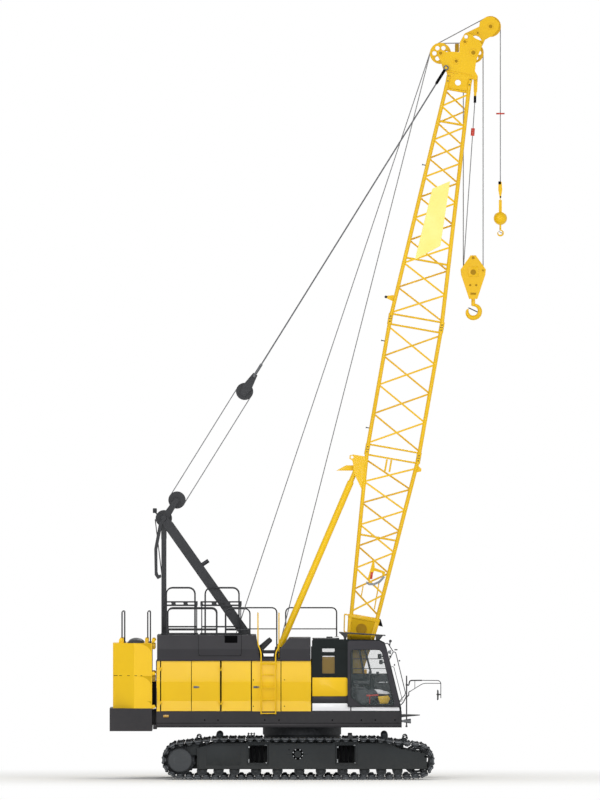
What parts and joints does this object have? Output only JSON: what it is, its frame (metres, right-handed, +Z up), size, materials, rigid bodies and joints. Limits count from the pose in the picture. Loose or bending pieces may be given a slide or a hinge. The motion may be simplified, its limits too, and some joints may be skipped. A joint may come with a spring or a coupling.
{
  "type": "crawler crane",
  "caption": "Crawler crane with tracks, slewing upper structure, cab, counterweight, A-frame gantry, lattice boom on stays, main hook block and a second hook on a ball weight.",
  "frame": {"origin": "the point on the ground under the slewing axis", "axes": "+Z up, +X forward as the tracks and the boom point, +Y to the machine's left"},
  "size_m": [9.17, 4.9, 17.606],
  "materials": {
    "yellow_paint": "gloss",
    "dark_paint": "satin",
    "track_steel": "matt",
    "rope_steel": "satin",
    "red_paint": "gloss",
    "sign_paint": "satin",
    "cab_glass": "clear",
    "seat_cloth": "matt"
  },
  "bodies": {
    "undercarriage": {"carbody": "dark_paint", "slewing_ring": "dark_paint", "jack_cylinders": "dark_paint", "track_right": "track_steel", "track_left": "track_steel", "side_frame_right": "dark_paint", "side_frame_left": "dark_paint", "track_rollers": "dark_paint", "drive_sprockets": "dark_paint", "idlers": "dark_paint"},
    "superstructure": {"revolving_frame": "dark_paint", "counterweight_tray": "dark_paint", "counterweight_blocks": "yellow_paint", "engine": "dark_paint", "house_right": "yellow_paint", "house_left": "yellow_paint", "hood_right": "dark_paint", "hood_left": "dark_paint", "gantry_mast": "yellow_paint", "gantry_links": "dark_paint", "winch_drums": "dark_paint", "boarding_ladder": "yellow_paint", "handrails": "dark_paint", "cab": "dark_paint", "cab_glass": "cab_glass", "cab_seat": "seat_cloth", "cab_rails": "dark_paint", "fuel_tank": "dark_paint"},
    "boom": {"boom_base": "yellow_paint", "boom_insert": "yellow_paint", "boom_tip": "yellow_paint", "boom_sign": "sign_paint", "boom_head": "yellow_paint", "nose_arm": "yellow_paint", "head_sheaves": "yellow_paint"},
    "main_rope": {"main_hoist_rope": "rope_steel"},
    "second_rope": {"second_hoist_rope": "rope_steel"},
    "backstop_tubes": {"backstop_tubes": "yellow_paint"},
    "backstop_rods": {"backstop_rods": "yellow_paint"},
    "spreader": {"spreader": "yellow_paint", "luffing_ropes": "rope_steel"},
    "bridle": {"bridle": "yellow_paint"},
    "stays": {"boom_stays": "rope_steel"},
    "dead_end": {"dead_end_link": "rope_steel"},
    "main_plumb": {"main_falls": "rope_steel", "limit_weight": "red_paint"},
    "hook_block": {"hook_block": "yellow_paint"},
    "main_hook": {"main_hook": "yellow_paint"},
    "second_plumb": {"second_fall": "rope_steel", "limit_ring": "red_paint"},
    "ball_weight": {"ball_weight": "yellow_paint"},
    "second_hook": {"second_hook": "yellow_paint"},
    "sliding_cab_door": {"cab_door": "yellow_paint", "cab_door_glass": "cab_glass"},
    "right_house_door_1": {"house_door_right_1": "yellow_paint"},
    "right_house_door_2": {"house_door_right_2": "yellow_paint"},
    "right_house_door_3": {"house_door_right_3": "yellow_paint"},
    "left_house_door_1": {"house_door_left_1": "yellow_paint"},
    "left_house_door_2": {"house_door_left_2": "yellow_paint"},
    "left_house_door_3": {"house_door_left_3": "yellow_paint"}
  },
  "joints": [
    {"name": "slew", "type": "hinge", "parent": "undercarriage", "child": "superstructure", "pos_m": [0, 0, 1.1], "axis": [0, 0, 1], "continuous": true},
    {"name": "luff", "type": "hinge", "parent": "superstructure", "child": "boom", "pos_m": [1.097, 0, 1.899], "axis": [0, -1, 0], "range_deg": [-50, 0]},
    {"name": "backstop_swing", "type": "hinge", "parent": "superstructure", "child": "backstop_tubes", "pos_m": [-0.531, 0, 2.973], "axis": [0, -1, 0], "range_deg": [-46.18, 0]},
    {"name": "backstop_stroke", "type": "slide", "parent": "backstop_tubes", "child": "backstop_rods", "axis": [0.3934, 0, 0.9194], "range_m": [0, 1.6117]},
    {"name": "spreader_swing", "type": "hinge", "parent": "superstructure", "child": "spreader", "pos_m": [-2.888, 0, 6.426], "axis": [0, -1, 0], "range_deg": [-47.6, 0]},
    {"name": "bridle_travel", "type": "slide", "parent": "spreader", "child": "bridle", "axis": [0.5286, 0, 0.8489], "range_m": [0, 5.0708], "deforming": ["luffing_ropes"]},
    {"name": "stay_swing", "type": "hinge", "parent": "boom", "child": "stays", "pos_m": [3.326, 0, 16.406], "axis": [0, -1, 0], "range_deg": [0, 2.5]},
    {"name": "main_rope_swing", "type": "hinge", "parent": "boom", "child": "main_rope", "pos_m": [3.197, 0, 16.744], "axis": [0, -1, 0], "range_deg": [0, 2.13]},
    {"name": "second_rope_swing", "type": "hinge", "parent": "boom", "child": "second_rope", "pos_m": [3.197, 0, 16.744], "axis": [0, -1, 0], "range_deg": [0, 4.53]},
    {"name": "dead_end_swing", "type": "hinge", "parent": "boom", "child": "dead_end", "pos_m": [4.01, 0, 16.18], "axis": [0, -1, 0], "range_deg": [0, 50.1]},
    {"name": "main_plumb_swing", "type": "hinge", "parent": "boom", "child": "main_plumb", "pos_m": [3.955, 0, 16.757], "axis": [0, -1, 0], "range_deg": [0, 50.1]},
    {"name": "main_hoist", "type": "slide", "parent": "main_plumb", "child": "hook_block", "axis": [0, 0, -1], "range_m": [-1.9, 10], "deforming": ["main_falls"]},
    {"name": "main_hook_swivel", "type": "hinge", "parent": "hook_block", "child": "main_hook", "pos_m": [3.955, 0, 11.1], "axis": [0, 0, 1], "continuous": true},
    {"name": "second_plumb_swing", "type": "hinge", "parent": "boom", "child": "second_plumb", "pos_m": [4.354, 0, 17.364], "axis": [0, -1, 0], "range_deg": [0, 50.1]},
    {"name": "second_hoist", "type": "slide", "parent": "second_plumb", "child": "ball_weight", "axis": [0, 0, -1], "range_m": [-1.4, 11.8], "deforming": ["second_fall"]},
    {"name": "second_hook_swivel", "type": "hinge", "parent": "ball_weight", "child": "second_hook", "pos_m": [4.582, 0, 12.8], "axis": [0, 0, 1], "continuous": true},
    {"name": "cab_door_slide", "type": "slide", "parent": "superstructure", "child": "sliding_cab_door", "axis": [-1, 0, 0], "range_m": [0, 0.65]},
    {"name": "right_door_1", "type": "hinge", "parent": "superstructure", "child": "right_house_door_1", "pos_m": [-3.257, -1.512, 2.15], "axis": [0, 0, -1], "range_deg": [0, 90]},
    {"name": "right_door_2", "type": "hinge", "parent": "superstructure", "child": "right_house_door_2", "pos_m": [-1.893, -1.512, 2.15], "axis": [0, 0, 1], "range_deg": [0, 90]},
    {"name": "right_door_3", "type": "hinge", "parent": "superstructure", "child": "right_house_door_3", "pos_m": [-1.849, -1.512, 2.15], "axis": [0, 0, -1], "range_deg": [0, 90]},
    {"name": "left_door_1", "type": "hinge", "parent": "superstructure", "child": "left_house_door_1", "pos_m": [-3.257, 1.512, 2.15], "axis": [0, 0, 1], "range_deg": [0, 90]},
    {"name": "left_door_2", "type": "hinge", "parent": "superstructure", "child": "left_house_door_2", "pos_m": [-1.893, 1.512, 2.15], "axis": [0, 0, -1], "range_deg": [0, 90]},
    {"name": "left_door_3", "type": "hinge", "parent": "superstructure", "child": "left_house_door_3", "pos_m": [-1.849, 1.512, 2.15], "axis": [0, 0, 1], "range_deg": [0, 90]}
  ],
  "couplings": [
    {"joint": "backstop_swing", "follows": "luff", "ratio": 0.92168},
    {"joint": "backstop_stroke", "follows": "luff", "m_per_rad": -1.8432},
    {"joint": "spreader_swing", "follows": "luff", "ratio": 0.95005},
    {"joint": "bridle_travel", "follows": "luff", "m_per_rad": -5.7992},
    {"joint": "stay_swing", "follows": "luff", "ratio": -0.049948},
    {"joint": "main_rope_swing", "follows": "luff", "ratio": -0.042438},
    {"joint": "second_rope_swing", "follows": "luff", "ratio": -0.090331},
    {"joint": "dead_end_swing", "follows": "luff", "ratio": -1},
    {"joint": "main_plumb_swing", "follows": "luff", "ratio": -1},
    {"joint": "second_plumb_swing", "follows": "luff", "ratio": -1}
  ]
}
